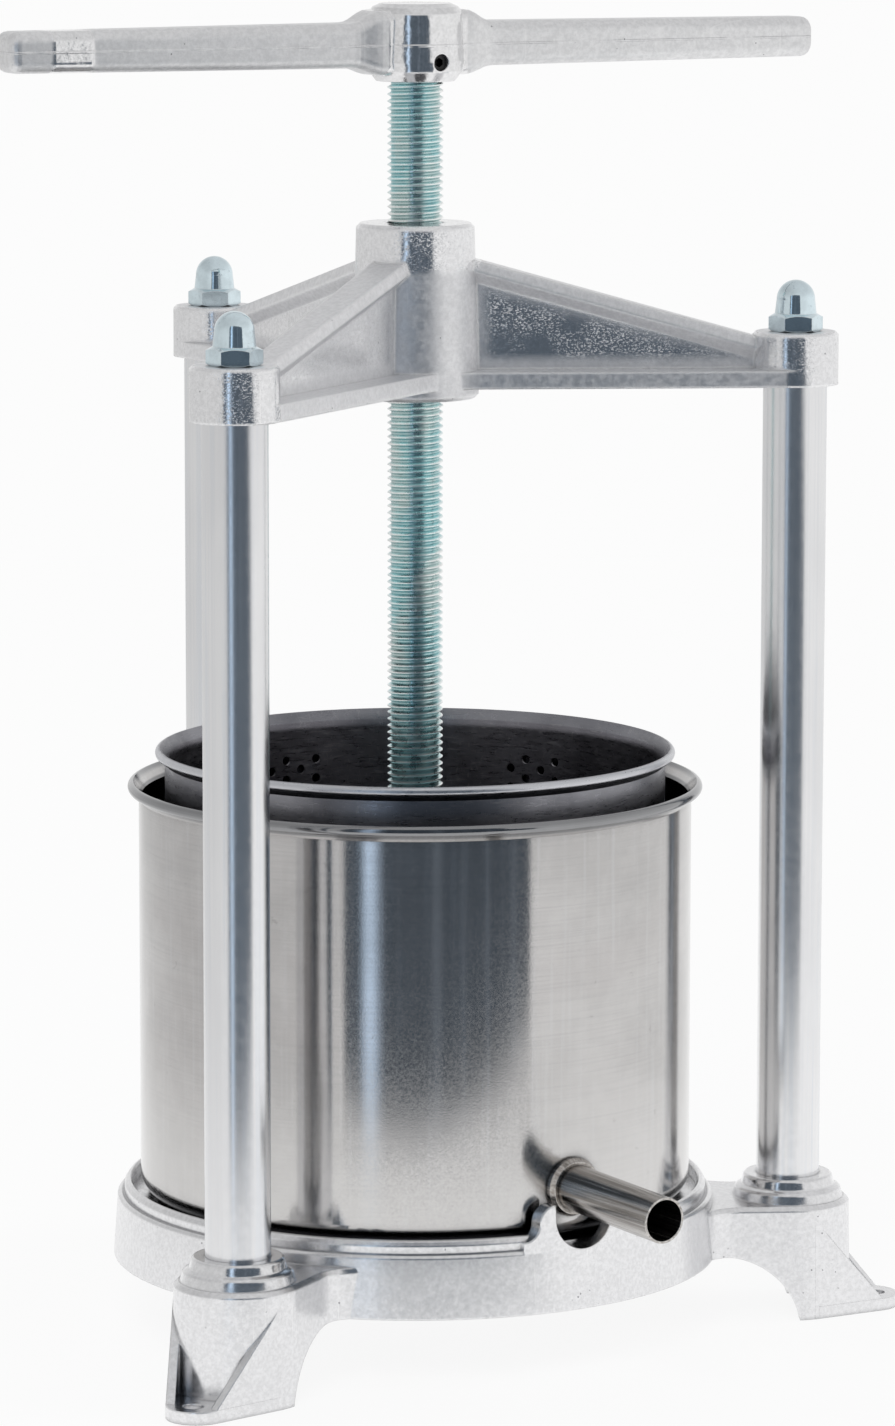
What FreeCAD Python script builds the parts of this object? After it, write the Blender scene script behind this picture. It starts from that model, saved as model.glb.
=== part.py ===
import FreeCAD, Part
import math
import os
from FreeCAD import Placement, Rotation, Vector

# Tabletop fruit press. Millimetres, +Z up. The origin is on the screw's axis at the
# level that the feet stand on. The spout points along -Y.

# Pot and spout
pot_radius = 100.0
pot_wall = 1.0
pot_height = 151.7
pot_corner_radius = 9.0
pot_rim_overhang = 4.0
pot_bead_radius = 2.0
spout_level = 20.0
spout_slope = 1.5
spout_radius = 8.15
spout_wall = 0.8
spout_length = 56.0
spout_shoulder = 0.25
spout_entry = 3.0
spout_collar_width = 2.25
spout_collar_length = 3.6
spout_collar_step = 1.0

# Basket
juice_gap = 8.5
basket_wall = 0.8
basket_height = 162.7
basket_rim_overhang = 3.5
basket_bead_radius = 1.75
basket_floor_rise = 3.0
basket_floor_thickness = 1.5

# Base casting: ring, recess and floor
recess_clearance = 3.0
recess_floor_z = 46.0
floor_thickness = 5.0
inner_bead_width = 3.0
inner_bead_height = 5.5
outer_bead_width = 2.5
outer_bead_height = 0.6
bead_edge = 1.0
ring_bottom_z = 24.0
ring_draft = 1.5
skirt_wall = 5.0
floor_boss_radius = 22.0
floor_rib_width = 6.0
floor_rib_depth = 12.0

# Legs and feet
leg_count = 3
first_leg_angle = -150.0
column_gap = 25.5
deck_z = 42.0
deck_edge = 1.6
deck_thickness = 8.0
leg_boss_radius = 22.5
leg_draft = 0.8
leg_blend_radius = 15.0
leg_wall = 4.5
arch_radius = 30.0
collar_width = 4.8
collar_height = 8.5
collar_step_width = 3.1
collar_step_height = 4.0
collar_edge = 0.8
foot_reach = 33.0
foot_hole_radius = 3.5
foot_nose_radius = 11.0
foot_nose_offset = 3.0
foot_thickness = 4.5
gusset_height = 35.0
gusset_thickness = 3.2
gusset_overlap = 1.5

# Cradle that the spout lies in
notch_clearance = 1.6
notch_bottom_z = 45.2
cradle_wall = 6.0
cradle_height = 16.0
cradle_blend_radius = 6.0
cradle_foot_drop = 1.8

# Columns, tie rods and their nuts
column_radius = 11.5
column_wall = 2.5
column_length = 296.0
column_socket_depth = 3.0
fit_clearance = 0.05
rod_radius = 5.0
rod_hole_clearance = 0.5
rod_tail = 3.0
rod_bevel = 1.0
nut_across_flats = 17.0
nut_height = 8.0
nut_corner_angle = 30.0
cap_nut_height = 18.5
cap_hexagon_height = 6.5
cap_nut_dome_radius = 7.5
cap_nut_tip_radius = 6.9
cap_nut_neck = 1.0
cap_nut_hole_depth = 13.0
washer_radius = 10.5
washer_thickness = 2.0

# Top bridge
lug_radius = 15.5
lug_height = 19.0
lug_edge = 1.0
flange_thickness = 6.0
bridge_blend_radius = 24.0
hub_bottom_drop = 4.0
hub_foot_radius = 22.8
hub_top_radius = 21.2
hub_height = 58.5
hub_edge = 1.4
arm_root_height = 45.0
arm_tip_height = 15.5
arm_cap_depth = 8.2
arm_cap_root_width = 16.0
arm_cap_tip_width = 11.0
arm_cap_edge = 1.2
arm_web_thickness = 6.0

# Screw and handle
screw_radius = 10.0
screw_bevel = 1.0
handle_cover = 5.0
hub_gap_at_rest = 50.5
handle_angle = -7.1
handle_half_length = 159.0
handle_hub_wall = 7.6
handle_hub_height = 27.5
handle_hub_edge = 3.5
grip_height = 16.0
grip_width = 18.0
grip_taper = 1.6
grip_level = 13.0
grip_corner = 4.2
grip_end_rounding = 4.0
grip_end_angle = 75.0
end_steps = 4
flare_length = 12.0
flare_drop = 2.2
flare_half_width = 10.5
flare_steps = 6
grub_radius = 3.0
grub_depth = 2.0
grub_level = 7.0
grub_angle = -84.0
grub_hex = 3.0

# Press plate and the swivel at the screw's end
plate_gap = 3.5
plate_thickness = 5.0
plate_edge = 1.5
plate_rest_z = 130.0
plate_boss_radius = 21.0
plate_boss_height = 24.0
plate_rib_count = 6
plate_rib_width = 5.0
plate_rib_inset = 10.0
plate_rib_height = 14.0
plate_rib_tip_height = 3.0
journal_radius = 7.0
swivel_recess_radius = 14.0
swivel_recess_depth = 9.0
swivel_play = 0.1
retainer_clearance = 1.0
retainer_thickness = 2.5
thrust_washer_radius = 16.0
thrust_washer_thickness = 2.0
swivel_bolt_radius = 4.0
swivel_bolt_depth = 18.0
swivel_bolt_across_flats = 13.0
swivel_bolt_head_height = 5.3

# Radii that follow from the sizes above
recess_radius = pot_radius + recess_clearance
inner_bead_radius = recess_radius + inner_bead_width
outer_bead_radius = inner_bead_radius + outer_bead_width
wall_foot_radius = outer_bead_radius + ring_draft
basket_radius = pot_radius - pot_wall - juice_gap
plate_radius = basket_radius - basket_wall - plate_gap
column_circle_radius = pot_radius + column_gap + column_radius
foot_hole_circle_radius = column_circle_radius + foot_reach
collar_radius = column_radius + collar_width
collar_step_radius = collar_radius + collar_step_width
spout_spigot_radius = spout_radius - spout_shoulder
spout_collar_radius = spout_radius + spout_collar_width
notch_radius = spout_collar_radius + notch_clearance
cradle_half_width = notch_radius + cradle_wall
handle_hub_radius = screw_radius + handle_hub_wall
flare_root = 0.9 * handle_hub_radius

# Levels that follow from the sizes above
inner_bead_z = recess_floor_z + inner_bead_height
outer_bead_z = recess_floor_z + outer_bead_height
cradle_top_z = recess_floor_z + cradle_height
floor_underside_z = recess_floor_z - floor_thickness
under_deck_z = deck_z - deck_thickness
column_seat_z = deck_z + collar_height - column_socket_depth
lug_bottom_z = column_seat_z + column_length - column_socket_depth
lug_top_z = lug_bottom_z + lug_height
hub_bottom_z = lug_bottom_z - hub_bottom_drop
hub_top_z = lug_bottom_z + hub_height
handle_hub_z = hub_top_z + hub_gap_at_rest
basket_foot_z = recess_floor_z + pot_wall
leg_angles = [first_leg_angle + 360.0 / leg_count * i for i in range(leg_count)]
leg_names = ["front_left", "front_right", "rear"]


def turned(shape, angle):
    """A copy of the shape turned about the screw's axis."""
    copy = shape.copy()
    copy.rotate(Vector(0, 0, 0), Vector(0, 0, 1), angle)
    return copy


def cylinder(radius, low, high, x=0.0):
    return Part.makeCylinder(radius, high - low, Vector(x, 0, low))


def block(x0, x1, y0, y1, z0, z1):
    return Part.makeBox(x1 - x0, y1 - y0, z1 - z0, Vector(x0, y0, z0))


def closed_wire(points):
    return Part.makePolygon(points + [points[0]])


def closed_face(points):
    return Part.Face(closed_wire(points))


def revolved(profile, x=0.0):
    """Turn a closed outline of (radius, z) points about the vertical through (x, 0)."""
    face = closed_face([Vector(x + r, 0, z) for r, z in profile])
    return face.revolve(Vector(x, 0, 0), Vector(0, 0, 1), 360)


def arc(start, middle, end):
    return Part.Arc(start, middle, end).toShape()


def line(start, end):
    return Part.makeLine(start, end)


def polar(radius, angle, x=0.0, z=0.0):
    a = math.radians(angle)
    return Vector(x + radius * math.cos(a), radius * math.sin(a), z)


def sideways(point):
    """The same point on the other side of the XZ plane."""
    return Vector(point.x, -point.y, point.z)


def hexagon_corner(across_flats):
    return across_flats / 2 / math.cos(math.radians(30))


def nut_body(across_flats, low, high, x=0.0, top_radius=None):
    """A hexagon with the corners of both ends turned off, down to top_radius on top."""
    corner = hexagon_corner(across_flats)
    inner = across_flats / 2
    upper = top_radius or inner
    slope = math.tan(math.radians(nut_corner_angle))
    points = [polar(corner, 60 * i, x, low) for i in range(6)]
    prism = closed_face(points).extrude(Vector(0, 0, high - low))
    profile = [
        (0, low), (inner, low), (corner, low + slope * (corner - inner)),
        (corner, high - slope * (corner - upper)), (upper, high), (0, high)]
    return prism.common(revolved(profile, x))


def leg_outline(side, z):
    """Plan of a leg along +X: boss, straight sides and round blends into the ring."""
    blend_y = side + leg_blend_radius
    blend_reach = outer_bead_radius + leg_blend_radius
    blend_x = math.sqrt(blend_reach ** 2 - blend_y ** 2)
    blend_angle = math.degrees(math.atan2(blend_y, blend_x))
    centre = Vector(blend_x, blend_y, z)
    ring_end = polar(outer_bead_radius, blend_angle, z=z)
    side_end = Vector(blend_x, side, z)
    bulge = (ring_end - centre) + (side_end - centre)
    middle = centre + bulge.normalize() * leg_blend_radius
    boss_end = Vector(column_circle_radius, side, z)
    inner_end = Vector(recess_radius - skirt_wall, ring_end.y, z)
    return Part.Wire([
        line(inner_end, ring_end),
        arc(ring_end, middle, side_end),
        line(side_end, boss_end),
        arc(boss_end, Vector(column_circle_radius + side, 0, z), sideways(boss_end)),
        line(sideways(boss_end), sideways(side_end)),
        arc(sideways(side_end), sideways(middle), sideways(ring_end)),
        line(sideways(ring_end), sideways(inner_end)),
        line(sideways(inner_end), inner_end)])


def leg_block():
    """Solid leg under its deck, wider at the floor, with a bevelled top edge."""
    low = leg_outline(leg_boss_radius + leg_draft, 0.0)
    shoulder = leg_outline(leg_boss_radius, deck_z - deck_edge)
    top = leg_outline(leg_boss_radius - deck_edge, deck_z)
    lower = Part.makeLoft([low, shoulder], True, True)
    upper = Part.makeLoft([shoulder, top], True, True)
    return lower.fuse(upper)


def column_collar():
    """Stepped ring that the foot of a column stands in."""
    x = column_circle_radius
    step_z = deck_z + collar_step_height
    top_z = deck_z + collar_height
    edge = collar_edge
    profile = [
        (0, under_deck_z), (collar_step_radius + edge, under_deck_z),
        (collar_step_radius + edge, deck_z),
        (collar_step_radius, step_z - edge), (collar_step_radius - edge, step_z),
        (collar_radius + edge, step_z + edge), (collar_radius, top_z - edge),
        (collar_radius - edge, top_z), (0, top_z)]
    return revolved(profile, x)


def foot_tab():
    """Plan of the foot: the boss and a round nose joined by their common tangents."""
    boss = leg_boss_radius + leg_draft
    nose_x = foot_hole_circle_radius - foot_nose_offset
    angle = math.degrees(math.acos((boss - foot_nose_radius) / (nose_x - column_circle_radius)))
    boss_point = polar(boss, angle, column_circle_radius)
    nose_point = polar(foot_nose_radius, angle, nose_x)
    outline = Part.Wire([
        line(boss_point, nose_point),
        arc(nose_point, Vector(nose_x + foot_nose_radius, 0, 0), sideways(nose_point)),
        line(sideways(nose_point), sideways(boss_point)),
        line(sideways(boss_point), boss_point)])
    tab = Part.Face(outline).extrude(Vector(0, 0, foot_thickness))
    return tab, boss_point, nose_point


def gusset(boss_point, nose_point):
    """Triangular web from the boss down to the edge of the foot, leaning in like the boss."""
    along = (nose_point - boss_point).normalize()
    inward = Vector(along.y, -along.x, 0) * math.copysign(1.0, boss_point.y)
    rise = Vector(0, 0, 1) + inward * (leg_draft / (deck_z - deck_edge))
    start = boss_point - along * gusset_overlap
    points = [
        start, nose_point, nose_point + rise * foot_thickness, boss_point + rise * gusset_height,
        start + rise * gusset_height]
    return closed_face(points).extrude(inward * gusset_thickness)


def leg_pocket():
    """Hollow under the deck, open at the floor, that leaves an even wall."""
    inner = leg_boss_radius - leg_wall
    x = column_circle_radius
    well = cylinder(inner, -1.0, under_deck_z, x)
    passage = block(wall_foot_radius + leg_wall / 2, x, -inner, inner, -1.0, under_deck_z)
    return well.fuse(passage)


def leg_arch():
    """Round cut that carries the ring's lower edge over into the leg's sides."""
    width = 2 * (leg_boss_radius + leg_blend_radius) + 2 * leg_draft
    centre = Vector(wall_foot_radius, -width / 2, ring_bottom_z - arch_radius)
    round_cut = Part.makeCylinder(arch_radius, width, centre, Vector(0, 1, 0))
    inside = block(0, centre.x, -width / 2, width / 2, -1.0, ring_bottom_z)
    return round_cut.fuse(inside)


def leg():
    tab, boss_point, nose_point = foot_tab()
    webs = [gusset(boss_point, nose_point), gusset(sideways(boss_point), sideways(nose_point))]
    body = leg_block().cut(leg_arch())
    body = body.fuse([column_collar(), tab] + webs)
    return body.cut(leg_pocket())


def leg_bores():
    """Socket for the column, hole for the tie rod and hole in the foot."""
    x = column_circle_radius
    socket = cylinder(column_radius + fit_clearance, column_seat_z, deck_z + 2 * collar_height, x)
    rod_hole = cylinder(rod_radius + rod_hole_clearance, 0.0, deck_z + collar_height, x)
    foot_hole = cylinder(foot_hole_radius, -1.0, 2 * foot_thickness, foot_hole_circle_radius)
    return socket.fuse([rod_hole, foot_hole])


def base_ring():
    """Ring with two beads, the floor that the pot stands on and the skirt below."""
    profile = [
        (0, floor_underside_z), (0, recess_floor_z), (recess_radius, recess_floor_z),
        (recess_radius, inner_bead_z - bead_edge), (recess_radius + bead_edge, inner_bead_z),
        (inner_bead_radius - bead_edge, inner_bead_z - bead_edge / 2),
        (inner_bead_radius, inner_bead_z - 2 * bead_edge),
        (inner_bead_radius, outer_bead_z - bead_edge / 2),
        (inner_bead_radius + bead_edge, outer_bead_z),
        (outer_bead_radius - bead_edge, outer_bead_z), (outer_bead_radius, outer_bead_z - bead_edge),
        (wall_foot_radius, ring_bottom_z), (wall_foot_radius - skirt_wall, ring_bottom_z),
        (outer_bead_radius - skirt_wall, floor_underside_z)]
    return revolved(profile)


def floor_ribs():
    """Boss and radial ribs that carry the pressing load under the floor."""
    low = floor_underside_z - floor_rib_depth
    reach = outer_bead_radius - skirt_wall / 2
    half = floor_rib_width / 2
    ribs = [block(0, reach, -half, half, low, floor_underside_z)]
    ribs = [turned(ribs[0], first_leg_angle + 180.0 / leg_count * i) for i in range(2 * leg_count)]
    return [cylinder(floor_boss_radius, low, floor_underside_z)] + ribs


def spout_cradle():
    """Raised part of the ring, either side of the spout, with blended shoulders."""
    r = cradle_blend_radius
    side = cradle_half_width
    low = outer_bead_z - 2 * cradle_foot_drop
    foot_z = inner_bead_z - cradle_foot_drop
    k = r * (1 - math.sqrt(0.5))
    y = -wall_foot_radius

    def at(x, z):
        return Vector(x, y, z)

    outline = Part.Wire([
        line(at(-side - r, low), at(-side - r, foot_z)),
        arc(at(-side - r, foot_z), at(-side - k, foot_z + k), at(-side, foot_z + r)),
        line(at(-side, foot_z + r), at(-side, cradle_top_z - r)),
        arc(at(-side, cradle_top_z - r), at(-side + k, cradle_top_z - k), at(-side + r, cradle_top_z)),
        line(at(-side + r, cradle_top_z), at(side - r, cradle_top_z)),
        arc(at(side - r, cradle_top_z), at(side - k, cradle_top_z - k), at(side, cradle_top_z - r)),
        line(at(side, cradle_top_z - r), at(side, foot_z + r)),
        arc(at(side, foot_z + r), at(side + k, foot_z + k), at(side + r, foot_z)),
        line(at(side + r, foot_z), at(side + r, low)),
        line(at(side + r, low), at(-side - r, low))])
    plate = Part.Face(outline).extrude(Vector(0, skirt_wall * 3, 0))
    hoop = cylinder(outer_bead_radius, low, cradle_top_z).cut(cylinder(recess_radius, low, cradle_top_z))
    return plate.common(hoop)


def spout_notch():
    centre_z = notch_bottom_z + notch_radius
    y = recess_radius - skirt_wall
    depth = outer_bead_radius + 2 * skirt_wall - y
    round_foot = Part.makeCylinder(notch_radius, depth, Vector(0, -y, centre_z), Vector(0, -1, 0))
    throat = block(-notch_radius, notch_radius, -y - depth, -y, centre_z, cradle_top_z + notch_radius)
    return round_foot.fuse(throat)


def base_casting():
    legs = [turned(leg(), angle) for angle in leg_angles]
    bores = [turned(leg_bores(), angle) for angle in leg_angles]
    body = base_ring().multiFuse(floor_ribs() + legs + [spout_cradle()])
    body = body.cut(cylinder(recess_radius, recess_floor_z, cradle_top_z))
    return body.cut(bores + [spout_notch()]).removeSplitter()


def column():
    high = column_seat_z + column_length
    outer = cylinder(column_radius, column_seat_z, high, column_circle_radius)
    inner = cylinder(column_radius - column_wall, column_seat_z, high, column_circle_radius)
    return outer.cut(inner)


def nut_underside_z():
    return under_deck_z - washer_thickness - nut_height


def tie_rod():
    low = nut_underside_z() - rod_tail
    high = lug_top_z + cap_nut_hole_depth - fit_clearance
    bevel = rod_bevel
    profile = [
        (0, low), (rod_radius - bevel, low), (rod_radius, low + bevel), (rod_radius, high - bevel),
        (rod_radius - bevel, high), (0, high)]
    return revolved(profile, column_circle_radius)


def base_washer():
    x = column_circle_radius
    low = under_deck_z - washer_thickness
    hole = cylinder(rod_radius + rod_hole_clearance, low, under_deck_z, x)
    return cylinder(washer_radius, low, under_deck_z, x).cut(hole)


def base_nut():
    x = column_circle_radius
    low = nut_underside_z()
    hole = cylinder(rod_radius + fit_clearance, low, low + nut_height, x)
    return nut_body(nut_across_flats, low, low + nut_height, x).cut(hole)


def cap_nut():
    """Domed nut: a low hexagon under a dome that leans in to a round top."""
    x = column_circle_radius
    low = lug_top_z
    hexagon_top = low + cap_hexagon_height
    root = hexagon_top - cap_nut_neck
    top = low + cap_nut_height
    shoulder = top - cap_nut_tip_radius
    tip = polar(cap_nut_tip_radius, 45)
    middle = Vector(x + tip.x, 0, shoulder + tip.y)
    corners = [
        Vector(x, 0, top), Vector(x, 0, root), Vector(x + cap_nut_dome_radius, 0, root),
        Vector(x + cap_nut_dome_radius, 0, hexagon_top), Vector(x + cap_nut_tip_radius, 0, shoulder)]
    edges = [line(a, b) for a, b in zip(corners[:-1], corners[1:])]
    outline = Part.Wire(edges + [arc(corners[-1], middle, corners[0])])
    dome = Part.Face(outline).revolve(Vector(x, 0, 0), Vector(0, 0, 1), 360)
    hole = cylinder(rod_radius + fit_clearance, low, low + cap_nut_hole_depth, x)
    hexagon = nut_body(nut_across_flats, low, hexagon_top, x, cap_nut_dome_radius)
    return hexagon.fuse(dome).cut(hole)


def bridge_flange():
    """Plan of the bottom flange: three arms with round blends between them."""
    half = lug_radius
    z = lug_bottom_z
    spread = 180.0 / leg_count
    reach = column_circle_radius
    crotch = (half + bridge_blend_radius) / math.sin(math.radians(spread))
    edges = []
    for angle in leg_angles:
        blend = polar(crotch, angle + spread, z=z)
        along = polar(1.0, angle)
        across = polar(1.0, angle + 90)
        start = along * (crotch * math.cos(math.radians(spread))) + across * half + Vector(0, 0, z)
        outer = along * reach + across * half + Vector(0, 0, z)
        mirror_outer = along * reach - across * half + Vector(0, 0, z)
        mirror_start = along * (crotch * math.cos(math.radians(spread))) - across * half + Vector(0, 0, z)
        following = polar(1.0, angle + 2 * spread)
        following_across = polar(1.0, angle + 2 * spread + 90)
        blend_end = following * (crotch * math.cos(math.radians(spread))) - following_across * half
        middle = blend - polar(bridge_blend_radius, angle + spread)
        edges += [
            line(mirror_start, mirror_outer),
            arc(mirror_outer, along * (reach + half) + Vector(0, 0, z), outer),
            line(outer, start),
            arc(start, middle, blend_end + Vector(0, 0, z))]
    return Part.Face(Part.Wire(edges)).extrude(Vector(0, 0, flange_thickness))


def cap_section(x, top_z, width):
    """Section of an arm's top flange, fullest at mid height and narrowing to the web."""
    half = width / 2
    web = arm_web_thickness / 2
    edge = arm_cap_edge
    outline = [
        (half - edge, top_z), (half, top_z - arm_cap_depth / 2), (web, top_z - arm_cap_depth)]
    points = [Vector(x, y, z) for y, z in outline]
    return closed_wire(points + [sideways(p) for p in reversed(points)])


def bridge_arm():
    """One arm along +X: web, sloping top flange and the lug at its end."""
    root_x = hub_foot_radius / 2
    tip_x = column_circle_radius - lug_radius / 2
    slope = (arm_root_height - arm_tip_height) / (tip_x - hub_foot_radius)
    root_z = lug_bottom_z + arm_root_height + slope * (hub_foot_radius - root_x)
    tip_z = lug_bottom_z + arm_tip_height
    half = arm_web_thickness / 2
    side = closed_face([
        Vector(root_x, -half, lug_bottom_z), Vector(tip_x, -half, lug_bottom_z),
        Vector(tip_x, -half, tip_z - arm_cap_edge), Vector(root_x, -half, root_z - arm_cap_edge)])
    web = side.extrude(Vector(0, 2 * half, 0))
    sections = [cap_section(root_x, root_z, arm_cap_root_width), cap_section(tip_x, tip_z, arm_cap_tip_width)]
    cap = Part.makeLoft(sections, True, True)
    edge = lug_edge
    lug = revolved([
        (0, lug_bottom_z), (lug_radius, lug_bottom_z), (lug_radius, lug_top_z - edge),
        (lug_radius - edge, lug_top_z), (0, lug_top_z)], column_circle_radius)
    return [web, cap, lug]


def bridge_hub():
    profile = [
        (0, hub_bottom_z), (hub_foot_radius - hub_edge, hub_bottom_z),
        (hub_foot_radius, hub_bottom_z + hub_edge), (hub_top_radius, hub_top_z - hub_edge),
        (hub_top_radius - hub_edge, hub_top_z), (0, hub_top_z)]
    return revolved(profile)


def lug_bores():
    x = column_circle_radius
    socket = cylinder(column_radius + fit_clearance, lug_bottom_z - 1, lug_bottom_z + column_socket_depth, x)
    rod_hole = cylinder(rod_radius + rod_hole_clearance, lug_bottom_z, lug_top_z + 1, x)
    return socket.fuse(rod_hole)


def top_bridge():
    pieces = [bridge_hub()]
    for angle in leg_angles:
        pieces += [turned(piece, angle) for piece in bridge_arm()]
    body = bridge_flange().multiFuse(pieces)
    bores = [turned(lug_bores(), angle) for angle in leg_angles]
    screw_bore = cylinder(screw_radius + fit_clearance, hub_bottom_z - 1, hub_top_z + 1)
    return body.cut(bores + [screw_bore]).removeSplitter()


def swivel_levels():
    """Heights of the swivel: recess ceiling, boss top and the screw's shoulder."""
    ceiling = plate_rest_z + swivel_recess_depth
    boss_top = plate_rest_z + plate_boss_height
    return ceiling, boss_top, boss_top + thrust_washer_thickness


def press_screw():
    """The screw's rod, its turned journal and the tapped hole for the swivel bolt."""
    ceiling, _, shoulder = swivel_levels()
    low = ceiling - swivel_play
    high = handle_hub_z + handle_hub_height - handle_cover
    bevel = screw_bevel
    profile = [
        (0, low), (journal_radius - bevel / 2, low), (journal_radius, low + bevel / 2),
        (journal_radius, shoulder), (screw_radius, shoulder), (screw_radius, high - bevel),
        (screw_radius - bevel, high), (0, high)]
    hole = cylinder(swivel_bolt_radius + fit_clearance, low, low + swivel_bolt_depth)
    return revolved(profile).cut(hole)


def thrust_washer():
    _, low, high = swivel_levels()
    return cylinder(thrust_washer_radius, low, high).cut(cylinder(journal_radius + fit_clearance, low, high))


def retaining_washer():
    high = swivel_levels()[0] - swivel_play
    low = high - retainer_thickness
    disc = cylinder(swivel_recess_radius - retainer_clearance, low, high)
    return disc.cut(cylinder(swivel_bolt_radius + fit_clearance, low, high))


def retaining_bolt():
    head_top = swivel_levels()[0] - swivel_play - retainer_thickness
    tip = head_top + retainer_thickness + swivel_bolt_depth - screw_bevel
    head = nut_body(swivel_bolt_across_flats, head_top - swivel_bolt_head_height, head_top)
    return head.fuse(cylinder(swivel_bolt_radius, head_top, tip)).removeSplitter()


def plate_rib():
    """Web on top of the plate that runs down from the boss to the rim."""
    top = plate_rest_z + plate_thickness
    half = plate_rib_width / 2
    reach = plate_radius - plate_rib_inset
    side = closed_face([
        Vector(plate_boss_radius / 2 + half, -half, top - plate_edge), Vector(reach, -half, top - plate_edge),
        Vector(reach, -half, top + plate_rib_tip_height),
        Vector(plate_boss_radius, -half, top + plate_rib_height),
        Vector(plate_boss_radius / 2 + half, -half, top + plate_rib_height)])
    return side.extrude(Vector(0, 2 * half, 0))


def press_plate():
    ceiling, boss_top, _ = swivel_levels()
    edge = plate_edge
    low = plate_rest_z
    top = low + plate_thickness
    disc = revolved([
        (0, low), (plate_radius - edge, low), (plate_radius, low + edge), (plate_radius, top - edge / 2),
        (plate_radius - edge / 2, top), (plate_boss_radius + edge, top), (plate_boss_radius, top + edge),
        (plate_boss_radius - edge, boss_top - edge), (plate_boss_radius - 2 * edge, boss_top), (0, boss_top)])
    ribs = [turned(plate_rib(), 360.0 / plate_rib_count * i) for i in range(plate_rib_count)]
    bore = cylinder(journal_radius + fit_clearance, low, boss_top)
    recess = cylinder(swivel_recess_radius, low, ceiling)
    return disc.multiFuse(ribs).cut([bore, recess]).removeSplitter()


def grip_section(x, low, high, half, corner):
    """Rounded rectangle across the bar at x, drawn the same way round each time."""
    k = corner * (1 - math.sqrt(0.5))

    def at(y, z):
        return Vector(x, y, z)

    return Part.Wire([
        line(at(-half + corner, low), at(half - corner, low)),
        arc(at(half - corner, low), at(half - k, low + k), at(half, low + corner)),
        line(at(half, low + corner), at(half, high - corner)),
        arc(at(half, high - corner), at(half - k, high - k), at(half - corner, high)),
        line(at(half - corner, high), at(-half + corner, high)),
        arc(at(-half + corner, high), at(-half + k, high - k), at(-half, high - corner)),
        line(at(-half, high - corner), at(-half, low + corner)),
        arc(at(-half, low + corner), at(-half + k, low + k), at(-half + corner, low))])


def flared_section(x):
    """Section of the bar at a distance x from the axis, blending from hub to grip."""
    z = handle_hub_z
    mid = z + grip_level
    share = min(max((x - flare_root) / flare_length, 0.0), 1.0)
    blend = 0.5 + 0.5 * math.cos(math.pi * share)
    run = max(x - flare_root, 0.0) / (handle_half_length - flare_root)
    half_height = (grip_height - grip_taper * run) / 2
    half_width = (grip_width - grip_taper * run) / 2
    hub_low = z + flare_drop
    hub_high = z + handle_hub_height - flare_drop
    low = (mid - half_height) * (1 - blend) + hub_low * blend
    high = (mid + half_height) * (1 - blend) + hub_high * blend
    half = half_width * (1 - blend) + flare_half_width * blend
    return grip_section(x, low, high, half, grip_corner)


def grip():
    """Half of the bar along +X, flared into the hub and rounded at its end."""
    straight_end = handle_half_length - grip_end_rounding
    stations = [handle_hub_radius / 2]
    stations += [flare_root + flare_length * i / flare_steps for i in range(flare_steps + 1)]
    bar = Part.makeLoft([flared_section(x) for x in stations + [straight_end]], True, True)
    mid = handle_hub_z + grip_level
    half_height = (grip_height - grip_taper) / 2
    half_width = (grip_width - grip_taper) / 2
    sections = []
    for i in range(end_steps + 1):
        angle = math.radians(grip_end_angle * i / end_steps)
        inset = grip_end_rounding * (1 - math.cos(angle))
        x = straight_end + grip_end_rounding * math.sin(angle) / math.sin(math.radians(grip_end_angle))
        corner = grip_corner - inset / 2
        reach = half_height - inset
        sections.append(grip_section(x, mid - reach, mid + reach, half_width - inset, corner))
    return [bar, Part.makeLoft(sections, True, True)]


def grub_axis():
    """Mouth of the grub screw's hole on the hub and the direction that points out of it."""
    direction = polar(1.0, grub_angle)
    mouth = direction * handle_hub_radius + Vector(0, 0, handle_hub_z + grub_level)
    return mouth, direction


def handle():
    z = handle_hub_z
    top = z + handle_hub_height
    edge = handle_hub_edge
    hub = revolved([
        (0, z), (handle_hub_radius - edge, z), (handle_hub_radius - edge / 4, z + edge),
        (handle_hub_radius, z + 2 * edge), (handle_hub_radius - edge / 5, top - edge),
        (handle_hub_radius - edge / 1.5, top - edge / 3), (handle_hub_radius - 1.4 * edge, top), (0, top)])
    right = grip()
    left = [turned(piece, 180) for piece in right]
    socket_top = top - handle_cover + fit_clearance
    socket = cylinder(screw_radius + fit_clearance, z - 1, socket_top)
    mouth, direction = grub_axis()
    start = mouth - direction * (handle_hub_radius - screw_radius / 2)
    grub_hole = Part.makeCylinder(grub_radius + fit_clearance, handle_hub_radius, start, direction)
    body = hub.multiFuse(right + left).cut([socket, grub_hole]).removeSplitter()
    return turned(body, handle_angle)


def grub_screw():
    """Set screw with a hexagon socket, its point against the screw's rod."""
    mouth, direction = grub_axis()
    start = direction * (screw_radius + fit_clearance) + Vector(0, 0, mouth.z)
    length = handle_hub_radius - screw_radius - grub_depth
    body = Part.makeCylinder(grub_radius, length, start, direction)
    corner = hexagon_corner(grub_hex)
    across = Vector(0, 0, 1)
    side = direction.cross(across)
    outer = start + direction * length
    turns = [polar(corner, 60 * i) for i in range(6)]
    hexagon = [outer + across * turn.x + side * turn.y for turn in turns]
    socket = closed_face(hexagon).extrude(direction * (-length / 2))
    return turned(body.cut(socket), handle_angle)


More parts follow.
